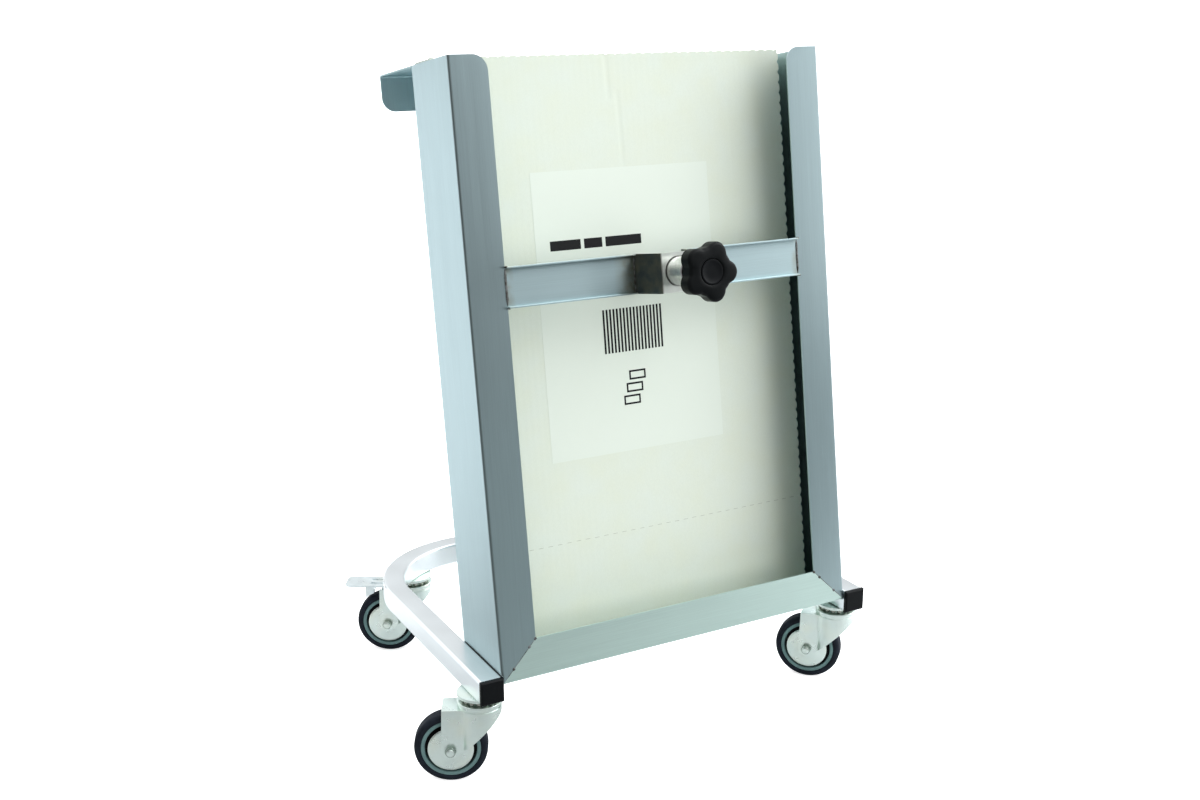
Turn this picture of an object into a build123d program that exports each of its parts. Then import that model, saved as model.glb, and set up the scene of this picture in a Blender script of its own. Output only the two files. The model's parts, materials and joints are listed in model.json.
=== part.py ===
from build123d import *
import math
import os

# Mobile dispenser for a carton of paper sheets: a leaning sheet-metal rack on a bent tube with four
# castors, and a screw clamp that presses the carton against the back of the rack.
# Millimetres and degrees. X is right, Y is rearward, Z is up, and the floor is at Z = 0.
# While it is built, X = 0 is the rack's middle plane and Y = 0 the front edge of the rack at its foot.

# ---------------------------------------------------------------- driving dimensions

# rack, in its own leaning frame: X right, Y depth behind the front flanges, Z up the slope
LEAN = 8.5
RACK_WIDTH = 424.0
RACK_HEIGHT = 610.0
RACK_DEPTH = 92.0
RACK_FOOT_Z = 112.5
FLANGE = 40.0
SHEET = 1.5
BEND = 3.0
TOP_CORNER = 15.5

# push handle, folded from the top of the back panel
HANDLE_REACH = 92.5
HANDLE_LIP = 37.5
HANDLE_CORNER = 14.0
RELIEF = 2.0

# edge breaks, blends and running gaps
EDGE_BREAK = 0.8
STACK_GAP = 0.3
RING_ROOM = 1.5
STAR_BLEND = 7.0
STAR_EDGE = 2.5
CAP_SUNK = 0.6
PLUG_EDGE = 1.2
FORK_TAPER = 1.5
GUARD_EDGE = 0.6
AXLE_END = 1.5
AXLE_GAP = 0.1
PEDAL_CORNER = 6.0

# base tube
TUBE = 25.0
TUBE_WALL = 2.0
TUBE_CORNER = 3.0
TUBE_BOTTOM = 97.0
TUBE_REAR = 369.5
BEND_RADIUS = 110.0

# end plugs
PLUG_HEAD = 4.5
PLUG_DEPTH = 12.0
PLUG_GAP = 0.1

# clamp bar, bracket and boss
BAR_BOTTOM = 370.0
BAR_HEIGHT = 40.0
BAR_LIP = 5.0
HAT_DEPTH = 37.0
HAT_FOOT = 29.5
HAT_FACE = 19.75
BOSS_HOLE = 15.5
BOSS_RADIUS = 14.5
BOSS_LENGTH = 27.0
BOSS_FLANGE = 18.0
BOSS_FLANGE_THICK = 2.5

# clamp screw, knob and pressure plate
SCREW_RADIUS = 6.0
RUNNING_GAP = 0.05
NECK_RADIUS = 5.0
KNOB_RADIUS = 30.0
KNOB_LOBES = 5
KNOB_LOBE_RADIUS = 10.5
KNOB_VALLEY = 24.0
KNOB_TILT = -5.0
KNOB_THICK = 17.0
KNOB_HUB_RADIUS = 14.0
KNOB_HUB_LENGTH = 16.0
KNOB_GAP = 2.0
INSERT_RADIUS = 9.0
CAP_RADIUS = 12.0
CAP_THICK = 4.0
PLATE_RADIUS = 13.0
PLATE_THICK = 3.0
PLATE_HUB_RADIUS = 10.0
PLATE_HUB_LENGTH = 10.0
PAD_THICK = 3.0
RING_RADIUS = 7.5
RING_THICK = 1.0
RING_INSET = 0.9
GROOVE_DEPTH = 0.5

# carton, its sheets and its label
CARTON_LEFT = -209.5
CARTON_WIDTH = 407.5
CARTON_HEIGHT = 611.0
CARTON_FACE = 50.0
CARTON_DEPTH = 40.0
BOARD = 3.0
SHEETS_WIDTH = 400.0
SHEETS_HEIGHT = 600.0
SHEETS_DEPTH = 33.0
LABEL_WIDTH = 210.0
LABEL_HEIGHT = 297.0
LABEL_LEFT = -113.5
LABEL_BOTTOM = 201.0
LABEL_THICK = 0.25

# castors
WHEEL_RADIUS = 37.5
WHEEL_WIDTH = 19.0
TRAIL = 30.0
TYRE_INNER = 31.2
TYRE_SHOULDER = 4.5
RIM_INNER = 27.2
RIM_WIDTH = 18.0
WEB_THICK = 6.0
HUB_RADIUS = 10.0
HUB_WIDTH = 20.8
SLEEVE_RADIUS = 5.5
AXLE_RADIUS = 3.0
GUARD_RADIUS = 23.3
GUARD_THICK = 1.5
FORK_INNER = 12.0
FORK_SHEET = 2.0
FORK_TOP = 82.0
FORK_END_RADIUS = 9.5
FORK_BELL = 22.0
FORK_NECK = 6.0
FORK_OPEN_FROM = 18.0
LEG_SLOPE = 45.0
HEAD_RADIUS = 23.0
HEAD_NECK = 21.5
RACE_TOP = 88.5
CUP_THICK = 3.5
CUP_HUB_RADIUS = 12.0
BALL_RADIUS = 2.45
BALL_CIRCLE = 17.6
BALL_COUNT = 16
KINGPIN_RADIUS = 5.0
KINGPIN_FLATS = 16.0
KINGPIN_HEAD = 6.0
KINGPIN_NUT = 8.0
KINGPIN_WASHER = 15.0
WASHER_THICK = 1.6
AXLE_FLATS = 10.0
AXLE_HEAD = 4.0
AXLE_NUT = 4.5

# castor places: axis x, axis y, direction of trail about Z, braked
FRONT_AXIS = (224.5, 29.0)
REAR_AXIS = (175.0, 339.0)
CASTORS = {
    "front_left": (-FRONT_AXIS[0], FRONT_AXIS[1], 153.5, False),
    "front_right": (FRONT_AXIS[0], FRONT_AXIS[1], 132.0, False),
    "rear_left": (-REAR_AXIS[0], REAR_AXIS[1], 149.0, True),
    "rear_right": (REAR_AXIS[0], REAR_AXIS[1], 140.0, True),
}

# brake pedal of the rear castors
PIVOT_U = 30.0
PIVOT_Z = 77.5
PIVOT_RADIUS = 2.5
PIVOT_HEAD_RADIUS = 3.7
PIVOT_HEAD = 1.2
PEDAL_START = 24.5
PEDAL_END = 80.0
PEDAL_WIDTH = 28.0
PEDAL_TOP = 87.0
PEDAL_SHEET = 2.0
SLOT_MIDDLE = 40.0
SLOT_SIDE = 5.5
SLOT_LENGTH = 20.0
SLOT_WIDTH = 4.5
EAR_HALF_LENGTH = 5.5
EAR_DROP = 3.5
EAR_OUTSIDE = 10.5
SHOE_START = 46.0
SHOE_END = 56.0
SHOE_WIDTH = 16.0
SHOE_GAP = 3.1

# ---------------------------------------------------------------- values that follow

HALF = RACK_WIDTH / 2
INSIDE = HALF - SHEET
OPENING = HALF - FLANGE
BAR_MIDDLE = BAR_BOTTOM + BAR_HEIGHT / 2
KNOB_HEIGHT = BAR_MIDDLE + 1.0
BOSS_END = -HAT_DEPTH - BOSS_LENGTH
KNOB_BACK = BOSS_END - KNOB_GAP
STAR_BACK = KNOB_BACK - KNOB_HUB_LENGTH
KNOB_FACE = STAR_BACK - KNOB_THICK
PAD_FACE = CARTON_FACE - LABEL_THICK - RUNNING_GAP
PLATE_FACE = PAD_FACE - PAD_THICK
RING_LIMITS = (PLATE_FACE - RING_INSET - RING_THICK, PLATE_FACE - RING_INSET)
TUBE_MIDDLE_Z = TUBE_BOTTOM + TUBE / 2
TUBE_AXIS_X = HALF + TUBE / 2
TUBE_AXIS_REAR = TUBE_REAR - TUBE / 2
TUBE_INSIDE = TUBE / 2 - TUBE_WALL
AXLE_Z = WHEEL_RADIUS
FORK_OUTER = FORK_INNER + FORK_SHEET
TO_RACK = Location((0, 0, RACK_FOOT_Z), (-LEAN, 0, 0))


# ---------------------------------------------------------------- helpers


def block(x, y, z):
    """A box between two limits on each axis."""
    size = (x[1] - x[0], y[1] - y[0], z[1] - z[0])
    middle = ((x[0] + x[1]) / 2, (y[0] + y[1]) / 2, (z[0] + z[1]) / 2)
    return Pos(*middle) * Box(*size)


def rod(radius, z):
    """A round bar on the Z axis between two heights."""
    return Pos(0, 0, (z[0] + z[1]) / 2) * Cylinder(radius, z[1] - z[0])


def across(radius, y):
    """A round bar on the Y axis between two places."""
    return Pos(0, (y[0] + y[1]) / 2, 0) * Rot(90, 0, 0) * Cylinder(radius, y[1] - y[0])


def hexagon(flats):
    """A hexagon sized across its flats."""
    return RegularPolygon(flats / math.sqrt(3), 6)


def hexagon_bar(flats, y):
    """A hexagonal bar on the Y axis."""
    return Pos(0, y[1], 0) * Rot(90, 0, 0) * extrude(hexagon(flats), y[1] - y[0])


def mirrored(shape):
    """The same piece on the other side of the middle plane."""
    return mirror(shape, Plane.YZ)


# ---------------------------------------------------------------- rack


def left_upright():
    """Side panel and front flange, mitred at the foot and rounded at the top."""
    path = FilletPolyline(
        (-HALF + SHEET / 2, RACK_DEPTH),
        (-HALF + SHEET / 2, SHEET / 2),
        (-OPENING, SHEET / 2),
        radius=BEND - SHEET / 2,
    )
    panel = extrude(trace(path, SHEET), RACK_HEIGHT)
    corner = panel.edges().filter_by(Axis.Y).filter_by(lambda e: e.length < 2 * SHEET)
    panel = fillet(corner.sort_by(Axis.Z)[-1], TOP_CORNER)
    mitre = Polygon((-INSIDE, -1), (-OPENING, -1), (-OPENING, FLANGE), (-INSIDE, SHEET), align=None)
    return panel - Pos(0, 2 * BEND, 0) * extrude(Plane.XZ * mitre, 3 * BEND)


def bottom_rail():
    """Front flange with mitred ends, folded rearward into the floor under the carton."""
    path = FilletPolyline(
        (RACK_DEPTH - SHEET, SHEET / 2),
        (SHEET / 2, SHEET / 2),
        (SHEET / 2, FLANGE),
        radius=BEND - SHEET / 2,
    )
    rail = Pos(-INSIDE, 0, 0) * extrude(Plane.YZ * trace(path, SHEET), 2 * INSIDE)
    above = FLANGE + 1
    side = Polygon((-INSIDE, SHEET), (-OPENING, FLANGE), (-OPENING, above), (-INSIDE - 1, above), align=None)
    cut = Pos(0, 2 * BEND, 0) * extrude(Plane.XZ * side, 3 * BEND)
    return rail - cut - mirrored(cut)


def back_panel():
    """One sheet: the back of the rack, folded rearward and down at the top to make the handle."""
    rear = RACK_DEPTH + HANDLE_REACH - SHEET / 2
    top = RACK_HEIGHT - SHEET / 2
    path = FilletPolyline(
        (RACK_DEPTH - SHEET / 2, 0),
        (RACK_DEPTH - SHEET / 2, top),
        (rear, top),
        (rear, RACK_HEIGHT - HANDLE_LIP),
        radius=BEND - SHEET / 2,
    )
    sheet = Pos(-HALF, 0, 0) * extrude(Plane.YZ * trace(path, SHEET), RACK_WIDTH)
    reach = RACK_DEPTH + RELIEF
    notch = block((-HALF - 1, -INSIDE), (RACK_DEPTH - 2 * SHEET, reach), (-1, RACK_HEIGHT + 1))
    sheet = sheet - notch - mirrored(notch)
    low = RACK_HEIGHT - HANDLE_LIP
    corners = sheet.edges().filter_by(Axis.Y).filter_by(
        lambda e: e.center().Y > rear - 2 * SHEET and abs(e.center().Z - low) < 0.1
    )
    return fillet(corners, HANDLE_CORNER)


def clamp_bar():
    """Shallow channel that faces forward, in two halves with the bracket between them."""
    top = BAR_BOTTOM + BAR_HEIGHT
    length = (-OPENING, -HAT_FOOT)
    half = block(length, (0, SHEET), (BAR_BOTTOM, top))
    for low in (BAR_BOTTOM, top - SHEET):
        half += block(length, (-BAR_LIP, SHEET), (low, low + SHEET))
    return [half, mirrored(half)]


def offset_bracket():
    """Hat-shaped bracket with a hole for the boss, and lips that taper along its walls."""
    path = Polyline(
        (-HAT_FOOT + SHEET / 2, SHEET),
        (-HAT_FACE, -HAT_DEPTH + SHEET / 2),
        (HAT_FACE, -HAT_DEPTH + SHEET / 2),
        (HAT_FOOT - SHEET / 2, SHEET),
    )
    hat = extrude(trace(path, SHEET), BAR_HEIGHT)
    lip = Polygon(
        (-HAT_FOOT, SHEET),
        (-HAT_FOOT, -BAR_LIP),
        (-HAT_FACE - SHEET, -HAT_DEPTH + SHEET),
        (-HAT_FACE, -HAT_DEPTH + SHEET),
        (-HAT_FOOT + SHEET, SHEET),
        align=None,
    )
    for low in (0, BAR_HEIGHT - SHEET):
        side = Pos(0, 0, low) * extrude(lip, SHEET)
        hat += side
        hat += mirrored(side)
    hat = hat & block((-HAT_FOOT, HAT_FOOT), (-2 * HAT_DEPTH, SHEET), (-1, BAR_HEIGHT + 1))
    hole = Pos(0, 0, KNOB_HEIGHT - BAR_BOTTOM) * across(BOSS_HOLE, (-2 * HAT_DEPTH, 0))
    return Pos(0, 0, BAR_BOTTOM) * (hat - hole)


def spindle_boss():
    """Turned bush through the bracket, held by a flange behind its face."""
    face = -HAT_DEPTH + SHEET
    boss = across(BOSS_RADIUS, (BOSS_END, face + BOSS_FLANGE_THICK))
    boss += across(BOSS_FLANGE, (face, face + BOSS_FLANGE_THICK))
    boss = chamfer(boss.edges().group_by(Axis.Y)[0], EDGE_BREAK)
    return Pos(0, 0, KNOB_HEIGHT) * (boss - across(SCREW_RADIUS + RUNNING_GAP, (2 * BOSS_END, 0)))


# ---------------------------------------------------------------- clamp screw


def spindle():
    """Clamp screw: threaded length, and a grooved neck that carries the pressure plate."""
    neck_start = PLATE_FACE - PLATE_THICK - PLATE_HUB_LENGTH - RUNNING_GAP
    neck_end = PLATE_FACE - 0.4
    screw = across(SCREW_RADIUS, (KNOB_FACE + 2 * CAP_THICK, neck_start))
    screw += across(NECK_RADIUS, (neck_start, neck_end))
    groove = across(NECK_RADIUS + 1, RING_LIMITS) - across(NECK_RADIUS - GROOVE_DEPTH, RING_LIMITS)
    return screw - groove


def retaining_ring():
    """Ring in the groove of the neck, in front of the plate's bore."""
    return across(RING_RADIUS, RING_LIMITS) - across(NECK_RADIUS - GROOVE_DEPTH, RING_LIMITS)


def pressure_plate():
    """Round plate and hub that turns freely on the neck of the screw."""
    back = PLATE_FACE - PLATE_THICK
    plate = across(PLATE_RADIUS, (back, PLATE_FACE))
    plate = fillet(plate.edges().group_by(Axis.Y)[0], 1.0)
    plate += across(PLATE_HUB_RADIUS, (back - PLATE_HUB_LENGTH, back + SHEET))
    plate -= across(NECK_RADIUS + RUNNING_GAP, (back - 2 * PLATE_HUB_LENGTH, PLATE_FACE + 1))
    return plate - across(RING_RADIUS + RING_ROOM, (RING_LIMITS[0] - 0.1, PLATE_FACE + 1))


def pressure_pad():
    """Rubber disc on the front of the plate."""
    pad = across(PLATE_RADIUS - 0.5, (PLATE_FACE, PAD_FACE))
    return fillet(pad.edges().group_by(Axis.Y)[-1], 1.0)


def star_outline():
    """Lobes round a circle, with the corners between them rounded."""
    outline = Circle(KNOB_VALLEY)
    reach = KNOB_RADIUS - KNOB_LOBE_RADIUS
    for lobe in range(KNOB_LOBES):
        angle = math.radians(KNOB_TILT + lobe * 360 / KNOB_LOBES)
        outline += Pos(reach * math.cos(angle), reach * math.sin(angle)) * Circle(KNOB_LOBE_RADIUS)
    return fillet(outline.vertices(), STAR_BLEND)


def star_knob():
    """Moulded knob: lobed grip and a round hub, hollow for the insert and the cap."""
    grip = Pos(0, STAR_BACK, 0) * extrude(Plane.XZ * star_outline(), KNOB_THICK)
    grip = fillet(grip.edges().group_by(Axis.Y)[0], STAR_EDGE)
    knob = grip + across(KNOB_HUB_RADIUS, (STAR_BACK - 1, KNOB_BACK))
    knob -= across(INSERT_RADIUS, (KNOB_FACE + 2 * CAP_THICK, KNOB_BACK + 1))
    knob -= across(INSERT_RADIUS - 2, (KNOB_FACE + CAP_THICK, KNOB_BACK))
    return knob - across(CAP_RADIUS + 0.5, (KNOB_FACE - 1, KNOB_FACE + CAP_THICK))


def knob_insert():
    """Brass bush moulded into the knob."""
    limits = (KNOB_FACE + 2 * CAP_THICK, KNOB_BACK)
    return across(INSERT_RADIUS, limits) - across(SCREW_RADIUS, limits)


def knob_cap():
    """Round cap that closes the front of the knob."""
    cap = across(CAP_RADIUS, (KNOB_FACE + CAP_SUNK, KNOB_FACE + CAP_THICK))
    return fillet(cap.edges().group_by(Axis.Y)[0], 1.0)


# ---------------------------------------------------------------- load


def carton():
    """Open-topped box of corrugated board."""
    x = (CARTON_LEFT, CARTON_LEFT + CARTON_WIDTH)
    y = (CARTON_FACE, CARTON_FACE + CARTON_DEPTH)
    z = (SHEET + 0.5, SHEET + 0.5 + CARTON_HEIGHT)
    inside = block((x[0] + BOARD, x[1] - BOARD), (y[0] + BOARD, y[1] - BOARD), (z[0] + BOARD, z[1] + 1))
    return block(x, y, z) - inside


def paper_stack():
    """The sheets that stand in the carton."""
    middle = CARTON_LEFT + CARTON_WIDTH / 2
    rear = CARTON_FACE + CARTON_DEPTH - BOARD - STACK_GAP
    floor = SHEET + 0.5 + BOARD + STACK_GAP
    width = (middle - SHEETS_WIDTH / 2, middle + SHEETS_WIDTH / 2)
    return block(width, (rear - SHEETS_DEPTH, rear), (floor, floor + SHEETS_HEIGHT))


def carton_label():
    """Paper label on the front of the carton."""
    face = CARTON_FACE
    size = ((LABEL_LEFT, LABEL_LEFT + LABEL_WIDTH), (face - LABEL_THICK, face))
    return block(*size, (LABEL_BOTTOM, LABEL_BOTTOM + LABEL_HEIGHT))


# ---------------------------------------------------------------- base tube


def base_tube():
    """Square tube bent to a U, with a hole over each castor."""
    bend_y = TUBE_AXIS_REAR - BEND_RADIUS
    bend_x = TUBE_AXIS_X - BEND_RADIUS
    outside = RectangleRounded(TUBE, TUBE, TUBE_CORNER)
    inside = RectangleRounded(2 * TUBE_INSIDE, 2 * TUBE_INSIDE, TUBE_CORNER - TUBE_WALL)
    section = outside - inside
    leg = Pos(-TUBE_AXIS_X, 0, TUBE_MIDDLE_Z) * extrude(Plane.XZ * section, -bend_y)
    rear = Pos(-bend_x, TUBE_AXIS_REAR, TUBE_MIDDLE_Z) * extrude(Plane.YZ * section, 2 * bend_x)
    axis = Axis((-bend_x, bend_y, 0), (0, 0, 1))
    start = Pos(-TUBE_AXIS_X, bend_y, TUBE_MIDDLE_Z) * (Plane.XZ * section)
    corner = revolve(start, axis, -90)
    tube = leg + corner + rear + mirrored(corner) + mirrored(leg)
    for x, y, _, _ in CASTORS.values():
        tube -= Pos(x, y, 0) * rod(KINGPIN_RADIUS + 0.2, (TUBE_BOTTOM - 1, TUBE_BOTTOM + TUBE_WALL + 1))
    return tube


def tube_plug():
    """Plastic plug for the left end of the tube."""
    head = block((-TUBE / 2, TUBE / 2), (-PLUG_HEAD, 0), (-TUBE / 2, TUBE / 2))
    head = chamfer(head.edges().group_by(Axis.Y)[0], PLUG_EDGE)
    half = TUBE_INSIDE - PLUG_GAP
    shank = block((-half, half), (0, PLUG_DEPTH), (-half, half))
    shank = fillet(shank.edges().filter_by(Axis.Y), TUBE_CORNER - TUBE_WALL)
    hollow = block((-half + 2, half - 2), (1, PLUG_DEPTH + 1), (-half + 2, half - 2))
    return Pos(-TUBE_AXIS_X, 0, TUBE_MIDDLE_Z) * (head + shank - hollow)


# ---------------------------------------------------------------- castor pieces
# Each is built with the swivel axis on Z and the wheel trailing towards +X.


def to_axle(shape):
    """Moves a piece built on the Y axis to the wheel's axle."""
    return Pos(TRAIL, 0, AXLE_Z) * shape


def castor_cup():
    """Fixed upper race under the tube."""
    cup = rod(HEAD_RADIUS, (TUBE_BOTTOM - CUP_THICK, TUBE_BOTTOM))
    cup = fillet(cup.edges().group_by(Axis.Z)[0], 1.0)
    cup += rod(CUP_HUB_RADIUS, (FORK_TOP - FORK_SHEET, TUBE_BOTTOM - 1))
    return cup - rod(KINGPIN_RADIUS + 0.05, (0, 2 * TUBE_BOTTOM))


def kingpin_bolt():
    """Flanged bolt from below, through the cup and into the tube."""
    washer_top = FORK_TOP - FORK_SHEET - 0.1
    washer_low = washer_top - WASHER_THICK
    shank_top = TUBE_BOTTOM + TUBE_WALL + KINGPIN_NUT + 1
    bolt = rod(KINGPIN_RADIUS, (washer_low, shank_top))
    bolt += rod(KINGPIN_WASHER, (washer_low, washer_top))
    return bolt + Pos(0, 0, washer_low - KINGPIN_HEAD) * extrude(hexagon(KINGPIN_FLATS), KINGPIN_HEAD)


def weld_nut():
    """Hexagon nut on the floor of the tube."""
    floor = TUBE_BOTTOM + TUBE_WALL
    nut = Pos(0, 0, floor) * extrude(hexagon(KINGPIN_FLATS), KINGPIN_NUT)
    return nut - rod(KINGPIN_RADIUS, (0, 2 * floor))


def bearing_balls():
    """Balls between the two races."""
    middle = (RACE_TOP + TUBE_BOTTOM - CUP_THICK) / 2
    balls = []
    for index in range(BALL_COUNT):
        angle = 2 * math.pi * index / BALL_COUNT
        place = Pos(BALL_CIRCLE * math.cos(angle), BALL_CIRCLE * math.sin(angle), middle)
        balls.append(place * Sphere(BALL_RADIUS))
    return balls


def fork_side_profile():
    """Leg outline: flat top, a straight trailing edge, a round end and a slanted leading edge."""
    slope = math.radians(LEG_SLOPE)
    tangent = (-math.sin(slope), -math.cos(slope))
    start = (TRAIL + FORK_END_RADIUS * tangent[0], AXLE_Z + FORK_END_RADIUS * tangent[1])
    nose_z = start[1] + (start[0] + FORK_BELL) * math.tan(slope)
    trailing = TRAIL + FORK_END_RADIUS
    lower = (TRAIL, AXLE_Z - FORK_END_RADIUS)
    outline = Line(start, (-FORK_BELL, nose_z))
    outline += Line((-FORK_BELL, nose_z), (-FORK_BELL, FORK_TOP))
    outline += Line((-FORK_BELL, FORK_TOP), (trailing - FORK_TAPER, FORK_TOP))
    outline += Line((trailing - FORK_TAPER, FORK_TOP), (trailing, AXLE_Z))
    outline += RadiusArc((trailing, AXLE_Z), lower, FORK_END_RADIUS)
    outline += RadiusArc(lower, start, FORK_END_RADIUS)
    return make_face(outline)


def fork_plan(half_width):
    """Plan outline: a round bell about the swivel axis that necks down to the two legs."""
    bell = half_width - FORK_OUTER + FORK_BELL
    outline = Circle(bell) + Pos(TRAIL, 0) * Rectangle(2 * TRAIL, 2 * half_width)
    necks = outline.vertices().filter_by(lambda v: v.X < TRAIL)
    return fillet(necks, FORK_NECK)


def fork():
    """Pressed fork: a round crown and two legs under one closed top, and the lower race."""
    legs = Pos(0, FORK_BELL, 0) * extrude(Plane.XZ * fork_side_profile(), 2 * FORK_BELL)
    legs = legs & extrude(fork_plan(FORK_OUTER), FORK_TOP + 1)
    pocket = extrude(fork_plan(FORK_INNER), FORK_TOP - FORK_SHEET)
    body = legs - pocket
    neck_top = RACE_TOP - CUP_THICK
    body += rod(HEAD_NECK, (FORK_TOP - 1, neck_top + 0.5))
    race = rod(HEAD_RADIUS, (neck_top, RACE_TOP))
    race = fillet(race.edges().filter_by(GeomType.CIRCLE), EDGE_BREAK)
    body += race
    body -= rod(CUP_HUB_RADIUS + RUNNING_GAP, (FORK_TOP - 2 * FORK_SHEET, RACE_TOP + 1))
    return body - to_axle(across(AXLE_RADIUS + AXLE_GAP, (-2 * FORK_OUTER, 2 * FORK_OUTER)))


def braked_fork():
    """The fork with an opening in its top for the pedal, and a hole through its legs for the pivot pin."""
    opening = block((FORK_OPEN_FROM, 3 * TRAIL), (-FORK_INNER, FORK_INNER), (PIVOT_Z, FORK_TOP + 1))
    hole = across(PIVOT_RADIUS + 0.02, (-2 * FORK_OUTER, 2 * FORK_OUTER))
    return fork() - opening - Pos(PIVOT_U, 0, PIVOT_Z) * hole


def tyre():
    """Rubber tyre with rounded shoulders."""
    ring = across(WHEEL_RADIUS, (-WHEEL_WIDTH / 2, WHEEL_WIDTH / 2))
    ring = fillet(ring.edges().filter_by(GeomType.CIRCLE), TYRE_SHOULDER)
    return to_axle(ring - across(TYRE_INNER, (-WHEEL_WIDTH, WHEEL_WIDTH)))


def rim():
    """Plastic wheel centre: outer band, recessed web and hub."""
    half = RIM_WIDTH / 2
    centre = across(TYRE_INNER, (-half, half))
    for side in (-1, 1):
        limits = sorted((side * WEB_THICK / 2, side * WHEEL_WIDTH))
        centre -= across(RIM_INNER, limits)
    centre += across(HUB_RADIUS, (-HUB_WIDTH / 2, HUB_WIDTH / 2))
    return to_axle(centre - across(SLEEVE_RADIUS + RUNNING_GAP, (-WHEEL_WIDTH, WHEEL_WIDTH)))


def axle_sleeve():
    """Steel tube that the wheel runs on, held between the guards."""
    half = FORK_INNER - GUARD_THICK
    return to_axle(across(SLEEVE_RADIUS, (-half, half)) - across(AXLE_RADIUS + AXLE_GAP, (-half, half)))


def thread_guards():
    """Two pressed discs between the wheel and the legs."""
    guards = []
    for side in (-1, 1):
        limits = sorted((side * FORK_INNER, side * (FORK_INNER - GUARD_THICK)))
        disc = across(GUARD_RADIUS, limits)
        disc = fillet(disc.edges().filter_by(GeomType.CIRCLE), GUARD_EDGE)
        guards.append(to_axle(disc - across(AXLE_RADIUS + AXLE_GAP, (-WHEEL_WIDTH, WHEEL_WIDTH))))
    return guards


def axle_bolt():
    """Axle bolt with its head on one leg, and the nut on the other."""
    bolt = across(AXLE_RADIUS, (-FORK_OUTER - 1, FORK_OUTER + AXLE_NUT + AXLE_END))
    bolt = chamfer(bolt.edges().group_by(Axis.Y)[-1], EDGE_BREAK)
    bolt += hexagon_bar(AXLE_FLATS, (-FORK_OUTER - AXLE_HEAD, -FORK_OUTER))
    nut = hexagon_bar(AXLE_FLATS, (FORK_OUTER, FORK_OUTER + AXLE_NUT))
    nut -= across(AXLE_RADIUS, (0, 2 * FORK_OUTER))
    return [to_axle(bolt), to_axle(nut)]


def brake_pedal():
    """Stamped pedal over the wheel, with ears on the pivot pin and a shoe that meets the tyre."""
    half = PEDAL_WIDTH / 2
    low = PEDAL_TOP - PEDAL_SHEET
    pedal = block((PEDAL_START, PEDAL_END), (-half, half), (low, PEDAL_TOP))
    pedal = fillet(pedal.edges().filter_by(Axis.Z).group_by(Axis.X)[-1], PEDAL_CORNER)
    for slot in (-1, 1):
        slot_shape = Pos(SLOT_MIDDLE, slot * SLOT_SIDE) * SlotOverall(SLOT_LENGTH, SLOT_WIDTH)
        pedal -= Pos(0, 0, low - 1) * extrude(slot_shape, 2 * PEDAL_SHEET)
    bore = across(PIVOT_RADIUS + RUNNING_GAP, (-FORK_INNER, FORK_INNER))
    for side in (-1, 1):
        limits = sorted((side * EAR_OUTSIDE, side * (EAR_OUTSIDE - PEDAL_SHEET)))
        length = (PIVOT_U - EAR_HALF_LENGTH, PIVOT_U + EAR_HALF_LENGTH)
        pedal += block(length, limits, (PIVOT_Z - EAR_DROP, PEDAL_TOP - 1))
    shoe = block((SHOE_START, SHOE_END), (-SHOE_WIDTH / 2, SHOE_WIDTH / 2), (AXLE_Z, PEDAL_TOP - 1))
    shoe -= to_axle(across(WHEEL_RADIUS + SHOE_GAP, (-WHEEL_WIDTH, WHEEL_WIDTH)))
    return pedal + shoe - Pos(PIVOT_U, 0, PIVOT_Z) * bore


def pivot_pin():
    """Headed pin through both legs that carries the pedal."""
    pin = across(PIVOT_RADIUS, (-FORK_OUTER - 1, FORK_OUTER + 1))
    pin += across(PIVOT_HEAD_RADIUS, (FORK_OUTER, FORK_OUTER + PIVOT_HEAD))
    pin += across(PIVOT_HEAD_RADIUS, (-FORK_OUTER - PIVOT_HEAD, -FORK_OUTER))
    return Pos(PIVOT_U, 0, PIVOT_Z) * pin


# ---------------------------------------------------------------- assembly


def rack_pieces():
    """Every piece that leans with the rack, moved to its place."""
    pieces = {
        "left_upright": left_upright(),
        "right_upright": mirrored(left_upright()),
        "bottom_rail": bottom_rail(),
        "back_panel": back_panel(),
        "clamp_bar": clamp_bar(),
        "offset_bracket": offset_bracket(),
        "spindle_boss": spindle_boss(),
        "carton": carton(),
        "paper_stack": paper_stack(),
        "carton_label": carton_label(),
    }
    on_screw = {
        "spindle": spindle(),
        "retaining_ring": retaining_ring(),
        "pressure_plate": pressure_plate(),
        "pressure_pad": pressure_pad(),
        "star_knob": star_knob(),
        "knob_insert": knob_insert(),
        "knob_cap": knob_cap(),
    }
    for name, shape in on_screw.items():
        pieces[name] = Pos(0, 0, KNOB_HEIGHT) * shape
    return {name: placed(TO_RACK, shape) for name, shape in pieces.items()}


def grouped(shape):
    """One shape from a piece, or from a group of pieces."""
    return Compound(children=shape) if isinstance(shape, list) else shape


def placed(place, shape):
    """A piece, or each piece of a group, moved to its place."""
    if isinstance(shape, list):
        return [place * one for one in shape]
    return place * shape


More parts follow.
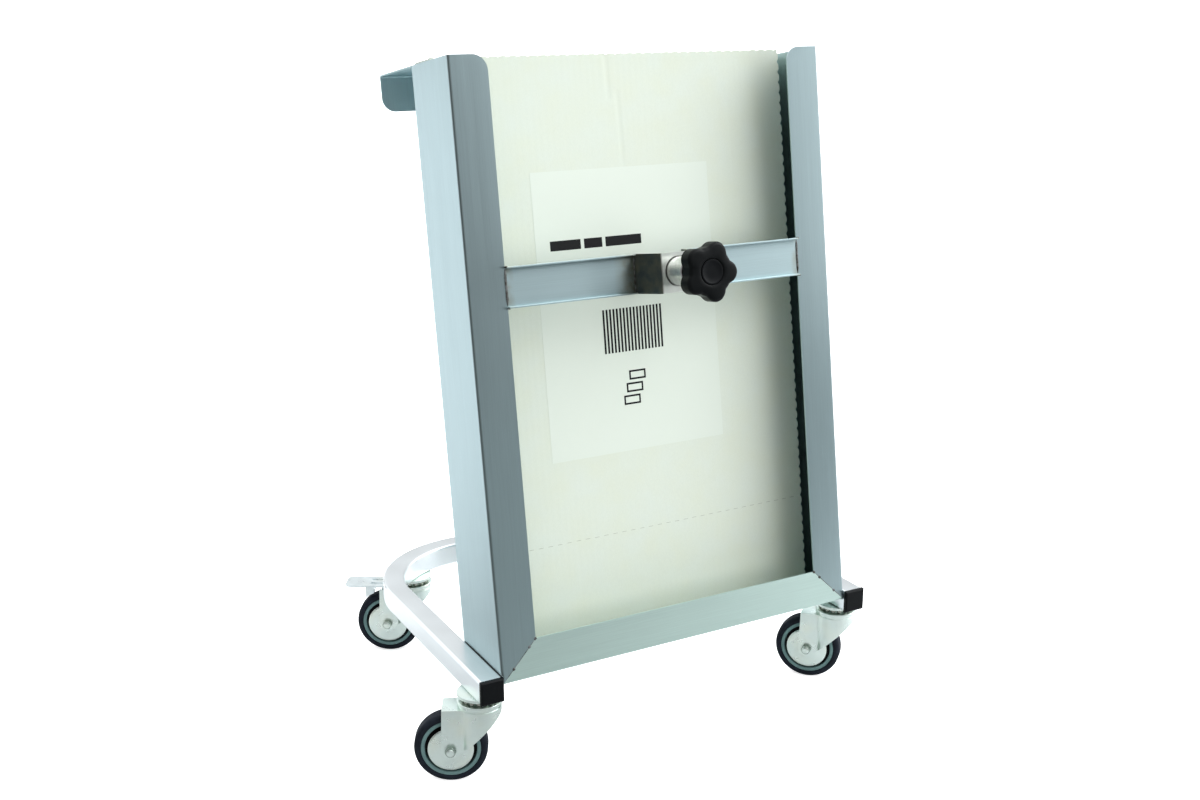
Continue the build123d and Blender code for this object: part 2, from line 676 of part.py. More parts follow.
def castor_pieces():
    """The four castors: shared nodes for what is fixed to the tube, and one set each for the rest."""
    fixed = {"castor_cups": [], "kingpin_bolts": [], "weld_nuts": [], "bearing_balls": []}
    pieces = {}
    for name, (x, y, turn, braked) in CASTORS.items():
        place = Location((x, y, 0), (0, 0, turn))
        fixed["castor_cups"].append(place * castor_cup())
        fixed["kingpin_bolts"].append(place * kingpin_bolt())
        fixed["weld_nuts"].append(place * weld_nut())
        fixed["bearing_balls"] += placed(place, bearing_balls())
        own = {
            "fork": braked_fork() if braked else fork(),
            "tyre": tyre(),
            "rim": rim(),
            "axle_sleeve": axle_sleeve(),
            "thread_guards": thread_guards(),
            "axle_bolt": axle_bolt(),
        }
        if braked:
            own["brake_pedal"] = brake_pedal()
            own["pivot_pin"] = pivot_pin()
        for part, shape in own.items():
            pieces[f"{part}_{name}"] = placed(place, shape)
    return fixed | pieces


def all_pieces():
    """Every named piece, still placed about the rack's middle plane."""
    pieces = rack_pieces() | castor_pieces()
    pieces["base_tube"] = base_tube()
    pieces["tube_plug_left"] = tube_plug()
    pieces["tube_plug_right"] = mirrored(tube_plug())
    return {name: grouped(shape) for name, shape in pieces.items()}


# The origin is on the floor under the middle of the whole object's box, with the castors as placed above.
pieces = all_pieces()
boxes = [shape.bounding_box() for shape in pieces.values()]
middle_x = (min(box.min.X for box in boxes) + max(box.max.X for box in boxes)) / 2
middle_y = (min(box.min.Y for box in boxes) + max(box.max.Y for box in boxes)) / 2

os.makedirs("parts", exist_ok=True)
for name, shape in pieces.items():
    export_step(Pos(-middle_x, -middle_y, 0) * shape, f"parts/{name}.step")
print("shift", -middle_x, -middle_y, "box", max(box.max.Z for box in boxes))
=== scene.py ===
"""Looks of the paper sheet dispenser trolley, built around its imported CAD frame.

Lengths are millimetres, except in material recipes, the floor and the soft box's size, which are metres. Each
piece is drawn in one of two local spaces and moved to its place once: the rack's leaning space (X right, Y depth
behind the front flanges, Z up the slope) or a castor's own space (swivel axis on Z, floor at Z = 0, wheel
trailing towards +X, axle along Y).
"""

import json
import math
import random

import bmesh
import bpy
from mathutils import Matrix, Vector, noise


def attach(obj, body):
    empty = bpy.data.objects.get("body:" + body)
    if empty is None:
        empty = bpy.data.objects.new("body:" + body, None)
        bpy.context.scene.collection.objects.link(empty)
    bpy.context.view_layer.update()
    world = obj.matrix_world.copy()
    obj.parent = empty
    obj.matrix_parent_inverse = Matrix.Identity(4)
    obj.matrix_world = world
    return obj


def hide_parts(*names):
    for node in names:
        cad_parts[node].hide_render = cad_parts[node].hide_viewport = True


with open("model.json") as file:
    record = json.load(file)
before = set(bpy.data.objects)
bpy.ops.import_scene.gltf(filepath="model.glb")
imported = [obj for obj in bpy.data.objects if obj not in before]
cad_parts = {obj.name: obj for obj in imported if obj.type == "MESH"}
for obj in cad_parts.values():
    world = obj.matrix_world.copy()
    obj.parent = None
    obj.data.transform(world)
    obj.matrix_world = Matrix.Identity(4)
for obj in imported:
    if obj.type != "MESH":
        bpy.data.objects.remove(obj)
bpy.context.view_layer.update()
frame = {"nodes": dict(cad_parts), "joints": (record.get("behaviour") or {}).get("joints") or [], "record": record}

MM = 0.001
JOINTS = {joint["name"]: joint for joint in frame["joints"]}
SLOTS = {row["node"]: row["material_slot"] for row in frame["record"]["subparts"]}
CASTORS = ("front_left", "front_right", "rear_left", "rear_right")

# ------------------------------------------------------------------ sizes shared with the frame

FLANGE = 40.0
RACK_HALF = 212.0
RACK_DEPTH = 92.0
OPENING = RACK_HALF - FLANGE
KNOB_HEIGHT = 391.0
HAT_DEPTH = 37.0
BAR_BOTTOM = 370.0
BAR_TOP = 410.0
HAT_FOOT = 29.5
HAT_FACE = 19.75
BOSS_END = -64.0
KNOB_BACK = -66.0
STAR_BACK = -82.0
KNOB_FACE = -99.0
CARTON_FACE = 50.0
TRAIL = 30.0
AXLE_Z = 37.5
FORK_INNER = 12.0
FORK_OUTER = 14.0
TUBE_TOP = 122.0

# ------------------------------------------------------------------ local spaces


def space(origin, x_axis, y_axis, z_axis):
    """Matrix from a local space in millimetres to the frame in metres."""
    turn = Matrix((x_axis, y_axis, z_axis)).transposed().to_4x4()
    return Matrix.Translation(origin) @ turn @ Matrix.Scale(MM, 4)


def rack_space():
    """The leaning rack's space, from the clamp's and the carton's joint axes."""
    upward = Vector(JOINTS["carton_lift"]["axis"]).normalized()
    depth = -Vector(JOINTS["clamp_travel"]["axis"]).normalized()
    knob = Vector(JOINTS["clamp_turn"]["pos_m"])
    origin = knob - upward * KNOB_HEIGHT * MM + depth * HAT_DEPTH * MM
    return space(origin, depth.cross(upward), depth, upward)


def castor_space(name):
    """A castor's space, from its swivel and wheel joints."""
    swivel = Vector(JOINTS["swivel_" + name]["pos_m"])
    swivel.z = 0
    axle = Vector(JOINTS["spin_" + name]["axis"]).normalized()
    upward = Vector((0, 0, 1))
    return space(swivel, axle.cross(upward), axle, upward)


RACK = rack_space()
FLOOR = space((RACK.translation.x, RACK.translation.y, 0), (1, 0, 0), (0, 1, 0), (0, 0, 1))

# ------------------------------------------------------------------ material recipes


class Recipe:
    """A material whose nodes are added and joined by short calls."""

    def __init__(self, name, color=(0.8, 0.8, 0.8), metallic=0.0, roughness=0.5):
        self.material = bpy.data.materials.new(name)
        self.material.use_nodes = True
        self.tree = self.material.node_tree
        self.shader = self.tree.nodes["Principled BSDF"]
        self.put(self.shader, "Base Color", (*color, 1.0))
        self.put(self.shader, "Metallic", metallic)
        self.put(self.shader, "Roughness", roughness)

    @classmethod
    def over(cls, material):
        """A recipe that goes on from a finished material."""
        recipe = cls.__new__(cls)
        recipe.material = material
        recipe.tree = material.node_tree
        recipe.shader = material.node_tree.nodes["Principled BSDF"]
        return recipe

    def product(self, first, second):
        """Two values multiplied."""
        made = self.tree.nodes.new("ShaderNodeMath")
        made.operation = "MULTIPLY"
        self.tree.links.new(first, made.inputs[0])
        self.tree.links.new(second, made.inputs[1])
        return made.outputs["Value"]

    def put(self, node, name, value):
        """Sets one input, or joins it to an output."""
        if isinstance(value, bpy.types.NodeSocket):
            self.tree.links.new(value, node.inputs[name])
        else:
            node.inputs[name].default_value = value

    def node(self, kind, **inputs):
        """Adds a node and fills its inputs, written with _ for a space."""
        made = self.tree.nodes.new(kind)
        for name, value in inputs.items():
            self.put(made, name.replace("_", " "), value)
        return made

    def coordinates(self, cell, turn=(0, 0, 0)):
        """Object coordinates turned into a grain direction and divided by a cell size in metres."""
        source = self.node("ShaderNodeTexCoord").outputs["Object"]
        mapping = self.tree.nodes.new("ShaderNodeMapping")
        mapping.vector_type = "TEXTURE"
        self.put(mapping, "Vector", source)
        self.put(mapping, "Rotation", turn)
        self.put(mapping, "Scale", cell)
        return mapping.outputs["Vector"]

    def rack_place(self):
        """Place in the rack's space: distance from the middle plane, and depth behind the front flanges."""
        source = self.node("ShaderNodeTexCoord").outputs["Object"]
        mapping = self.tree.nodes.new("ShaderNodeMapping")
        mapping.vector_type = "TEXTURE"
        self.put(mapping, "Vector", source)
        self.put(mapping, "Location", RACK.translation)
        self.put(mapping, "Rotation", LEAN_TURN)
        self.put(mapping, "Scale", (MM, MM, MM))
        split = self.node("ShaderNodeSeparateXYZ", Vector=mapping.outputs["Vector"])
        side = self.tree.nodes.new("ShaderNodeMath")
        side.operation = "ABSOLUTE"
        self.tree.links.new(split.outputs["X"], side.inputs[0])
        return side.outputs["Value"], split.outputs["Y"]

    def base_color(self):
        """Whatever already feeds the base colour."""
        return self.shader.inputs["Base Color"].links[0].from_socket

    def noise(self, cell, turn=(0, 0, 0), detail=3.0, roughness=0.5):
        """Noise between 0 and 1, stretched to the cell."""
        place = self.coordinates(cell, turn)
        made = self.node("ShaderNodeTexNoise", Vector=place, Scale=1.0, Detail=detail, Roughness=roughness)
        return made.outputs["Fac"]

    def span(self, value, low, high, start=0.3, end=0.7):
        """Maps a value from start..end to low..high."""
        made = self.node(
            "ShaderNodeMapRange", Value=value, From_Min=start, From_Max=end, To_Min=low, To_Max=high
        )
        return made.outputs["Result"]

    def tint(self, factor, first, second):
        """Colour between two colours."""
        made = self.tree.nodes.new("ShaderNodeMix")
        made.data_type = "RGBA"
        sockets = {socket.identifier: socket for socket in made.inputs}
        self.tree.links.new(factor, sockets["Factor_Float"])
        for key, color in (("A_Color", first), ("B_Color", second)):
            if isinstance(color, bpy.types.NodeSocket):
                self.tree.links.new(color, sockets[key])
            else:
                sockets[key].default_value = (*color, 1.0)
        return made.outputs[2]

    def bump(self, height, strength, distance):
        """Adds a bump to whatever normal the shader has."""
        made = self.node("ShaderNodeBump", Height=height, Strength=strength, Distance=distance)
        if self.shader.inputs["Normal"].links:
            self.put(made, "Normal", self.shader.inputs["Normal"].links[0].from_socket)
        self.put(self.shader, "Normal", made.outputs["Normal"])

    def paint(self, color=None, roughness=None):
        """Joins a colour and a roughness to the shader."""
        if color is not None:
            self.put(self.shader, "Base Color", color)
        if roughness is not None:
            self.put(self.shader, "Roughness", roughness)
        return self.material


LEAN_TURN = tuple(RACK.to_euler())
COLUMN = (0.00035, 0.00035, 0.05)
ROW = (0.05, 0.00035, 0.00035)
UP_SLOPE = RACK.to_3x3().col[2].normalized()
RIGHT = Vector((1, 0, 0))
SPREAD = 0.85


def brushed_steel(name, cell, grain_line, color, roughness, turn=LEAN_TURN):
    """Sheet steel with a fine grain that spreads reflections across it, soft blotches and duller streaks."""
    recipe = Recipe(name, metallic=1.0)
    cross = recipe.tree.nodes.new("ShaderNodeVectorMath")
    cross.operation = "CROSS_PRODUCT"
    recipe.tree.links.new(recipe.node("ShaderNodeNewGeometry").outputs["Normal"], cross.inputs[0])
    cross.inputs[1].default_value = grain_line
    recipe.put(recipe.shader, "Tangent", cross.outputs["Vector"])
    grain = recipe.noise(cell, turn, detail=4.0)
    streaks = recipe.noise(tuple(c * 6 for c in cell), turn, detail=2.0)
    blotch = recipe.noise((0.09, 0.09, 0.14), turn, detail=2.0)
    light = tuple(min(1.0, c * 1.045) for c in color)
    dark = tuple(c * 0.95 for c in color)
    shade = recipe.tint(recipe.span(grain, 0.0, 1.0), dark, light)
    shade = recipe.tint(recipe.span(blotch, 0.0, 0.35), shade, tuple(c * 0.93 for c in color))
    recipe.bump(grain, 0.015, 0.0002)
    recipe.put(recipe.shader, "Anisotropic", SPREAD)
    return recipe.paint(shade, recipe.span(streaks, roughness - 0.01, roughness + 0.03))


def folded_sheet(name):
    """The side panels' steel, with painted shade along the fold between flange and panel, where the bend reflects
    dark.
    """
    material = brushed_steel(name, COLUMN, UP_SLOPE, SHEET_COLOR, 0.31)
    recipe = Recipe.over(material)
    side, depth = recipe.rack_place()
    near_side = recipe.span(side, 0.0, 0.75, RACK_HALF - 2.6, RACK_HALF - 1.2)
    near_front = recipe.span(depth, 1.0, 0.0, 1.2, 2.6)
    # Painted shade: darkens the bend between flange and panel.
    return recipe.paint(recipe.tint(recipe.product(near_side, near_front), recipe.base_color(), FOLD_PAINTED_SHADE))


def heat_tint_and_shade_bar(name):
    """The bar's steel, straw and brown at its two ends from heat tint, and beside the bracket's welds, where the
    brown is heat tint and painted shade for the dark reflection of the bracket's walls.
    """
    material = brushed_steel(name, ROW, RIGHT, SHEET_COLOR, 0.36)
    recipe = Recipe.over(material)
    side, _ = recipe.rack_place()
    patch = recipe.noise((0.010, 0.010, 0.010), detail=3.0)
    # Heat tint and painted shade: the brown darkening beside the bracket stands in partly for the dark reflection
    # of its walls.
    near = recipe.span(side, 1.0, 0.0, HAT_FOOT + 1.0, HAT_FOOT + 24.0)
    ends = recipe.span(side, 0.0, 1.0, OPENING - 9.0, OPENING)
    shade = recipe.tint(recipe.product(near, recipe.span(patch, 0.35, 1.0)), recipe.base_color(), HEAT_BROWN_AND_SHADE)
    return recipe.paint(recipe.tint(recipe.product(ends, recipe.span(patch, 0.0, 0.8)), shade, HEAT_BROWN_AND_SHADE))


def bracket_steel(name):
    """The bracket's steel: a pale copy on its face as painted reflection, and painted shade darkening the two
    walls beside the welds, with a brownish heat tint in patches.
    """
    # Painted reflection: the face is a pale copy of the steel.
    material = brushed_steel(name, COLUMN, UP_SLOPE, (0.94, 1.0, 0.92), 0.36)
    recipe = Recipe.over(material)
    side, _ = recipe.rack_place()
    patch = recipe.noise((0.012, 0.012, 0.012), LEAN_TURN, detail=3.0)
    # Painted shade: the two walls are darkened, patched with a brownish heat tint.
    wall = recipe.span(side, 0.0, 1.0, HAT_FACE - 1.6, HAT_FACE + 0.4)
    wall_shade_and_tint = recipe.tint(recipe.span(patch, 0.0, 1.0), (0.12, 0.14, 0.14), (0.22, 0.215, 0.17))
    return recipe.paint(recipe.tint(wall, recipe.base_color(), wall_shade_and_tint))


def zinc_plate(name, color, roughness):
    """Bright zinc plating: bluish, slightly cloudy, with faint warm patches."""
    recipe = Recipe(name, metallic=1.0)
    cloud = recipe.noise((0.012, 0.012, 0.012), detail=4.0)
    speck = recipe.noise((0.0012, 0.0012, 0.0012), detail=3.0)
    warm = recipe.noise((0.02, 0.02, 0.02), detail=1.0)
    shade = recipe.tint(recipe.span(cloud, 0.0, 1.0), color, tuple(min(1.0, c * 1.05) for c in color))
    shade = recipe.tint(recipe.span(warm, 0.0, 0.4, 0.45, 0.75), shade, (0.80, 0.82, 0.70))
    recipe.bump(speck, 0.08, 0.0002)
    recipe.bump(cloud, 0.05, 0.0008)
    return recipe.paint(shade, recipe.span(cloud, roughness - 0.05, roughness + 0.08))


def satin_tube(name, color):
    """Finely polished tube: almost even, with long faint rubs."""
    recipe = Recipe(name, metallic=1.0)
    rubs = recipe.noise((0.04, 0.04, 0.04), detail=1.0)
    shade = recipe.tint(recipe.span(rubs, 0.0, 1.0), tuple(c * 0.97 for c in color), color)
    return recipe.paint(shade, recipe.span(rubs, 0.28, 0.32))


def turned_steel(name, color, roughness):
    """Lathe-turned steel with fine rings."""
    recipe = Recipe(name, metallic=1.0)
    rings = recipe.noise((0.02, 0.0003, 0.02), LEAN_TURN, detail=2.0)
    shade = recipe.tint(recipe.span(rings, 0.0, 1.0), color, tuple(min(1.0, c * 1.15) for c in color))
    recipe.bump(rings, 0.15, 0.0002)
    return recipe.paint(shade, recipe.span(rings, roughness - 0.05, roughness + 0.05))


def moulded_plastic(name, color, roughness, grain=0.0006):
    """Matt moulded plastic with a fine spark-eroded grain and faint flow marks."""
    recipe = Recipe(name)
    fine = recipe.noise((grain, grain, grain), detail=2.0)
    flow = recipe.noise((0.02, 0.02, 0.02), detail=2.0)
    shade = recipe.tint(recipe.span(flow, 0.0, 1.0), color, tuple(c * 1.25 + 0.001 for c in color))
    recipe.bump(fine, 0.18, 0.0002)
    recipe.put(recipe.shader, "Specular IOR Level", 0.2)
    return recipe.paint(shade, recipe.span(flow, roughness - 0.05, roughness + 0.07))


def rubber(name, color, roughness=0.62):
    """Dull rubber with dust in its pores."""
    recipe = Recipe(name)
    pores = recipe.noise((0.0008, 0.0008, 0.0008), detail=3.0)
    dust = recipe.noise((0.008, 0.008, 0.008), detail=4.0)
    shade = recipe.tint(recipe.span(dust, 0.0, 1.0, 0.4, 0.8), color, tuple(c * 1.7 + 0.003 for c in color))
    recipe.bump(pores, 0.25, 0.0003)
    recipe.put(recipe.shader, "Specular IOR Level", 0.2)
    return recipe.paint(shade, recipe.span(dust, roughness - 0.08, roughness + 0.1))


def carton_board(name, color):
    """Pale board: fibres, faint vertical flutes and a soft mottle."""
    recipe = Recipe(name, roughness=0.8)
    fibre = recipe.noise((0.0009, 0.0009, 0.0022), LEAN_TURN, detail=5.0, roughness=0.65)
    mottle = recipe.noise((0.03, 0.03, 0.03), LEAN_TURN, detail=3.0)
    across = recipe.coordinates((0.05, 0.05, 0.05), LEAN_TURN)
    flute = recipe.node("ShaderNodeTexWave", Vector=across, Scale=2.2)
    warm = (color[0], color[1] * 0.985, color[2] * 0.93)
    shade = recipe.tint(recipe.span(mottle, 0.0, 0.8), color, warm)
    shade = recipe.tint(recipe.span(fibre, 0.0, 0.22), shade, tuple(c * 0.80 for c in color))
    recipe.bump(fibre, 0.22, 0.0003)
    recipe.bump(flute.outputs["Fac"], 0.05, 0.0005)
    return recipe.paint(shade, recipe.span(fibre, 0.72, 0.88))


def paper(name, color, roughness):
    """Smooth paper with a very fine tooth."""
    recipe = Recipe(name, roughness=roughness)
    tooth = recipe.noise((0.0006, 0.0006, 0.0006), detail=3.0)
    shade = recipe.tint(recipe.span(tooth, 0.0, 0.3), color, tuple(c * 0.95 for c in color))
    recipe.bump(tooth, 0.08, 0.0002)
    return recipe.paint(shade, recipe.span(tooth, roughness - 0.05, roughness + 0.05))


def weld_metal(name):
    """Ground weld: darker, heat-tinted straw and blue in patches."""
    recipe = Recipe(name, metallic=1.0)
    heat = recipe.noise((0.006, 0.006, 0.006), detail=3.0)
    shade = recipe.tint(recipe.span(heat, 0.0, 1.0, 0.35, 0.65), (0.08, 0.075, 0.065), (0.26, 0.27, 0.27))
    recipe.bump(recipe.noise((0.001, 0.001, 0.001)), 0.3, 0.0003)
    return recipe.paint(shade, recipe.span(heat, 0.35, 0.5))


def brass(name):
    """Turned brass."""
    return turned_steel(name, (0.72, 0.55, 0.26), 0.3)


SHEET_COLOR = (0.48, 0.595, 0.615)
# A lighter copy of the sheet's colour for the bottom rail: painted light for its brighter look.
RAIL_LIT_COLOR = (0.58, 0.72, 0.675)
# Brown heat tint, also used as painted shade beside the bracket.
HEAT_BROWN_AND_SHADE = (0.33, 0.31, 0.23)
# Painted shade for the bend of the side panels' folds.
FOLD_PAINTED_SHADE = (0.16, 0.18, 0.18)
TUBE_COLOR = (0.84, 0.88, 0.89)
MATERIALS = {
    "brushed_sheet": brushed_steel("sheet_vertical_grain", COLUMN, UP_SLOPE, SHEET_COLOR, 0.38),
    "brushed_row": brushed_steel("sheet_cross_grain", ROW, RIGHT, RAIL_LIT_COLOR, 0.36),
    "heat_and_shade_bar": heat_tint_and_shade_bar("bar_heat_tint_and_painted_shade"),
    "folded": folded_sheet("folded_sheet"),
    "bracket": bracket_steel("bracket_steel"),
    "brushed_tube": satin_tube("satin_tube", TUBE_COLOR),
    "turned_steel": turned_steel("turned_steel", (0.66, 0.66, 0.64), 0.32),
    "zinc_plate": zinc_plate("zinc_plate", (0.72, 0.80, 0.76), 0.30),
    # A darker copy of the zinc for the axle nuts: painted dark reflection on their faces.
    "nut_zinc": zinc_plate("nut_zinc", (0.36, 0.42, 0.38), 0.26),
    "pedal_steel": zinc_plate("pedal_zinc", (0.80, 0.87, 0.88), 0.30),
    "bearing_steel": zinc_plate("greased_balls", (0.42, 0.42, 0.38), 0.22),
    "black_plastic": moulded_plastic("black_plastic", (0.004, 0.005, 0.006), 0.42),
    "knob_plastic": moulded_plastic("knob_plastic", (0.004, 0.005, 0.0055), 0.40),
    "insert_brass": brass("insert_brass"),
    "pad_rubber": rubber("pad_rubber", (0.05, 0.05, 0.05)),
    "tyre_rubber": rubber("tyre_rubber", (0.014, 0.018, 0.026)),
    "rim_plastic": moulded_plastic("rim_plastic", (0.16, 0.25, 0.245), 0.45),
    "board": carton_board("carton_board", (0.69, 0.745, 0.665)),
    "sheet_paper": paper("sheet_paper", (0.86, 0.84, 0.77), 0.7),
    "label_paper": paper("label_paper", (0.705, 0.762, 0.683), 0.5),
    "ink": paper("label_ink", (0.004, 0.004, 0.005), 0.5),
    "slit": paper("slit_shadow", (0.42, 0.45, 0.38), 0.8),
    "weld": weld_metal("weld_metal"),
}
SPECIAL = {
    "bottom_rail": "brushed_row",
    "clamp_bar": "heat_and_shade_bar",
    "offset_bracket": "bracket",
    "left_upright": "folded",
    "right_upright": "folded",
}

# ------------------------------------------------------------------ mesh helpers

SHARP_ANGLE = math.radians(32)


def piece(name, verts, faces, place, body, slot, material=None, stands_for=()):
    """Makes a mesh piece from local points, moves it to its place and lets it ride on its body."""
    data = bpy.data.meshes.new(name)
    data.from_pydata([place @ Vector(v) for v in verts], [], faces)
    made = bpy.data.objects.new(name, data)
    bpy.context.scene.collection.objects.link(made)
    tidy_mesh(data)
    data.materials.append(MATERIALS[material or slot])
    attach(made, body)
    if stands_for:
        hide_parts(*stands_for)
    return made


def tidy_mesh(data):
    """Joins doubled points, makes normals face outwards, and shades smooth between sharp edges."""
    edit = bmesh.new()
    edit.from_mesh(data)
    bmesh.ops.remove_doubles(edit, verts=edit.verts, dist=1e-7)
    bmesh.ops.recalc_face_normals(edit, faces=edit.faces)
    for face in edit.faces:
        face.smooth = True
    for edge in edit.edges:
        edge.smooth = len(edge.link_faces) == 2 and edge.calc_face_angle(0.0) < SHARP_ANGLE
    edit.to_mesh(data)
    edit.free()


def merged(parts):
    """One list of points and faces from several."""
    verts, faces = [], []
    for part_verts, part_faces in parts:
        start = len(verts)
        verts += part_verts
        faces += [tuple(start + index for index in face) for face in part_faces]
    return verts, faces


def moved(part, offset):
    """The same part at an offset."""
    verts, faces = part
    return [(v[0] + offset[0], v[1] + offset[1], v[2] + offset[2]) for v in verts], faces


def shell(rings, segments=96, closed=False):
    """Skin over rings round the Y axis. A ring is (radius or function of the angle, place on Y).

    An open shell is closed by a fan at each end; a closed one joins its last ring to its first.
    """
    verts, faces = [], []
    for radius, along in rings:
        for step in range(segments):
            angle = 2 * math.pi * step / segments
            reach = radius(angle) if callable(radius) else radius
            verts.append((reach * math.cos(angle), along, reach * math.sin(angle)))
    pairs = [(ring, ring + 1) for ring in range(len(rings) - 1)]
    if closed:
        pairs.append((len(rings) - 1, 0))
    for first, second in pairs:
        for step in range(segments):
            after = (step + 1) % segments
            faces.append(
                (
                    first * segments + step,
                    first * segments + after,
                    second * segments + after,
                    second * segments + step,
                )
            )
    if not closed:
        for ring in (0, len(rings) - 1):
            verts.append((0.0, rings[ring][1], 0.0))
            centre = len(verts) - 1
            for step in range(segments):
                faces.append((centre, ring * segments + step, ring * segments + (step + 1) % segments))
    return verts, faces


def arc(centre, radius, start, end, steps=6):
    """Points (radius from axis, place along axis) on a round corner, angles in degrees."""
    points = []
    for step in range(steps + 1):
        angle = math.radians(start + (end - start) * step / steps)
        points.append((centre[0] + radius * math.cos(angle), centre[1] + radius * math.sin(angle)))
    return points


def slab(outline, depth, lift=0.0):
    """Prism over an outline in X and Z, between two depths on Y."""
    count = len(outline)
    verts = [(x, depth[0], z + lift) for x, z in outline] + [(x, depth[1], z + lift) for x, z in outline]
    faces = [tuple(range(count)), tuple(range(2 * count - 1, count - 1, -1))]
    for index in range(count):
        after = (index + 1) % count
        faces.append((index, index + count, after + count, after))
    return verts, faces


def bead(start, end, radius, across, out, seed, pitch=1.1, sides=10):
    """Weld bead from start to end: a low half-round ridge with ripples and a wandering width."""
    start, end = Vector(start), Vector(end)
    across, out = Vector(across).normalized(), Vector(out).normalized()
    length = (end - start).length
    count = max(8, int(length / pitch * 4))
    verts, faces = [], []
    for step in range(count + 1):
        share = step / count
        centre = start.lerp(end, share)
        taper = min(1.0, 5.0 * min(share, 1 - share) + 0.25)
        ripple = 0.10 * math.cos(2 * math.pi * share * length / pitch)
        wander = 0.18 * noise.noise(Vector((share * length * 0.35, seed, 0.0)))
        size = radius * taper * (1.0 + ripple + wander)
        for side in range(sides):
            angle = 2 * math.pi * side / sides
            point = centre + across * size * math.cos(angle) + out * size * 0.55 * math.sin(angle)
            verts.append(tuple(point))
    for step in range(count):
        for side in range(sides):
            after = (side + 1) % sides
            here, there = step * sides, (step + 1) * sides
            faces.append((here + side, here + after, there + after, there + side))
    faces.append(tuple(range(sides - 1, -1, -1)))
    faces.append(tuple(count * sides + side for side in range(sides)))
    return verts, faces


# ------------------------------------------------------------------ CAD nodes that stay

SKIP_BEVEL = ("bearing_balls",)
FINE_BEVEL = {"base_tube": 0.25, "carton": 0.4, "star_knob": 0.8, "rim": 0.35, "tyre": 0.5}


def finish_cad_nodes():
    """Gives every CAD node its material and a small rounded edge."""
    for name, made in frame["nodes"].items():
        slot = SLOTS[name]
        made.data.materials.clear()
        made.data.materials.append(MATERIALS[SPECIAL.get(name, slot)])
        for face in made.data.polygons:
            face.use_smooth = True
        stored = made.data.attributes.get("custom_normal")
        if stored:
            made.data.attributes.remove(stored)
        weld = made.modifiers.new("join", "WELD")
        weld.merge_threshold = 1e-6
        if name in SKIP_BEVEL:
            continue
        bevel = made.modifiers.new("edge", "BEVEL")
        bevel.width = FINE_BEVEL.get(name, 0.3) * MM
        bevel.segments = 2
        bevel.limit_method = "ANGLE"
        bevel.angle_limit = math.radians(35)
        bevel.harden_normals = True
        bevel.use_clamp_overlap = True


# ------------------------------------------------------------------ clamp

LOBES = 5
LOBE_RADIUS = 10.5
LOBE_REACH = 19.5
VALLEY = 24.0
LOBE_TILT = math.radians(-5)
BLEND = 0.9


def star(angle):
    """Radius of the star knob at an angle: round lobes blended into a circle."""
    spacing = 2 * math.pi / LOBES
    offset = (angle - LOBE_TILT + spacing / 2) % spacing - spacing / 2
    inside = LOBE_RADIUS**2 - (LOBE_REACH * math.sin(offset)) ** 2
    if inside <= 0:
        return VALLEY
    lobe = LOBE_REACH * math.cos(offset) + math.sqrt(inside)
    return math.log(math.exp(BLEND * lobe) + math.exp(BLEND * VALLEY)) / BLEND


def knob_ring(share, inset, along):
    """Ring of the knob: a circle when share is 0, the star outline less an inset when it is 1."""
    core = 13.4
    return (lambda angle: core + (star(angle) - inset - core) * share, along)


def star_knob():
    """Moulded knob: hub, undercut grip with rolled edges, slightly domed face and a recess for the cap."""
    bore, hub, back_edge, face_edge = 9.05, 14.0, 1.7, 4.2
    rings = [(bore, -90.5), (bore, KNOB_BACK - 0.4), (9.5, KNOB_BACK), (13.2, KNOB_BACK)]
    rings += [(hub, KNOB_BACK - 0.8), (hub, STAR_BACK + 1.6), (14.6, STAR_BACK + 0.4)]
    rings += [knob_ring(0.25, 0.0, STAR_BACK), knob_ring(0.7, 0.0, STAR_BACK)]
    rings += [knob_ring(1.0, back_edge, STAR_BACK - 0.1)]
    edge = arc((0.0, STAR_BACK - 1.8), back_edge, 85, 0, 5)
    rings += [knob_ring(1.0, back_edge - reach, along) for reach, along in edge]
    edge = arc((0.0, KNOB_FACE + 4.6), face_edge, 0, -80, 8)
    rings += [knob_ring(1.0, face_edge - reach, along) for reach, along in edge]
    rings += [knob_ring(0.62, 3.6, KNOB_FACE + 0.15), knob_ring(0.3, 2.0, KNOB_FACE), (14.1, KNOB_FACE)]
    rings += [(13.7, KNOB_FACE + 0.15), (13.3, KNOB_FACE + 0.7)]
    rings += [(12.9, KNOB_FACE + 0.9), (12.75, KNOB_FACE + 3.5)]
    verts, faces = shell(rings, 160)
    return moved((verts, faces), (0, 0, KNOB_HEIGHT))


def knob_cap():
    """Cap in the knob's face, with a rolled rim and a shallow dish."""
    face = KNOB_FACE + 0.55
    rings = [(12.0, KNOB_FACE + 3.9), (12.3, KNOB_FACE + 3.4), (12.3, face + 0.5)]
    rings += [(12.1, face + 0.12), (11.7, face), (10.9, face), (10.4, face + 0.15)]
    rings += [(9.8, face + 0.45), (5.0, face + 0.6)]
    return moved(shell(rings, 96), (0, 0, KNOB_HEIGHT))


SCREW_RADIUS = 6.0
SCREW_PITCH = 3.0
THREAD_DEPTH = 1.35


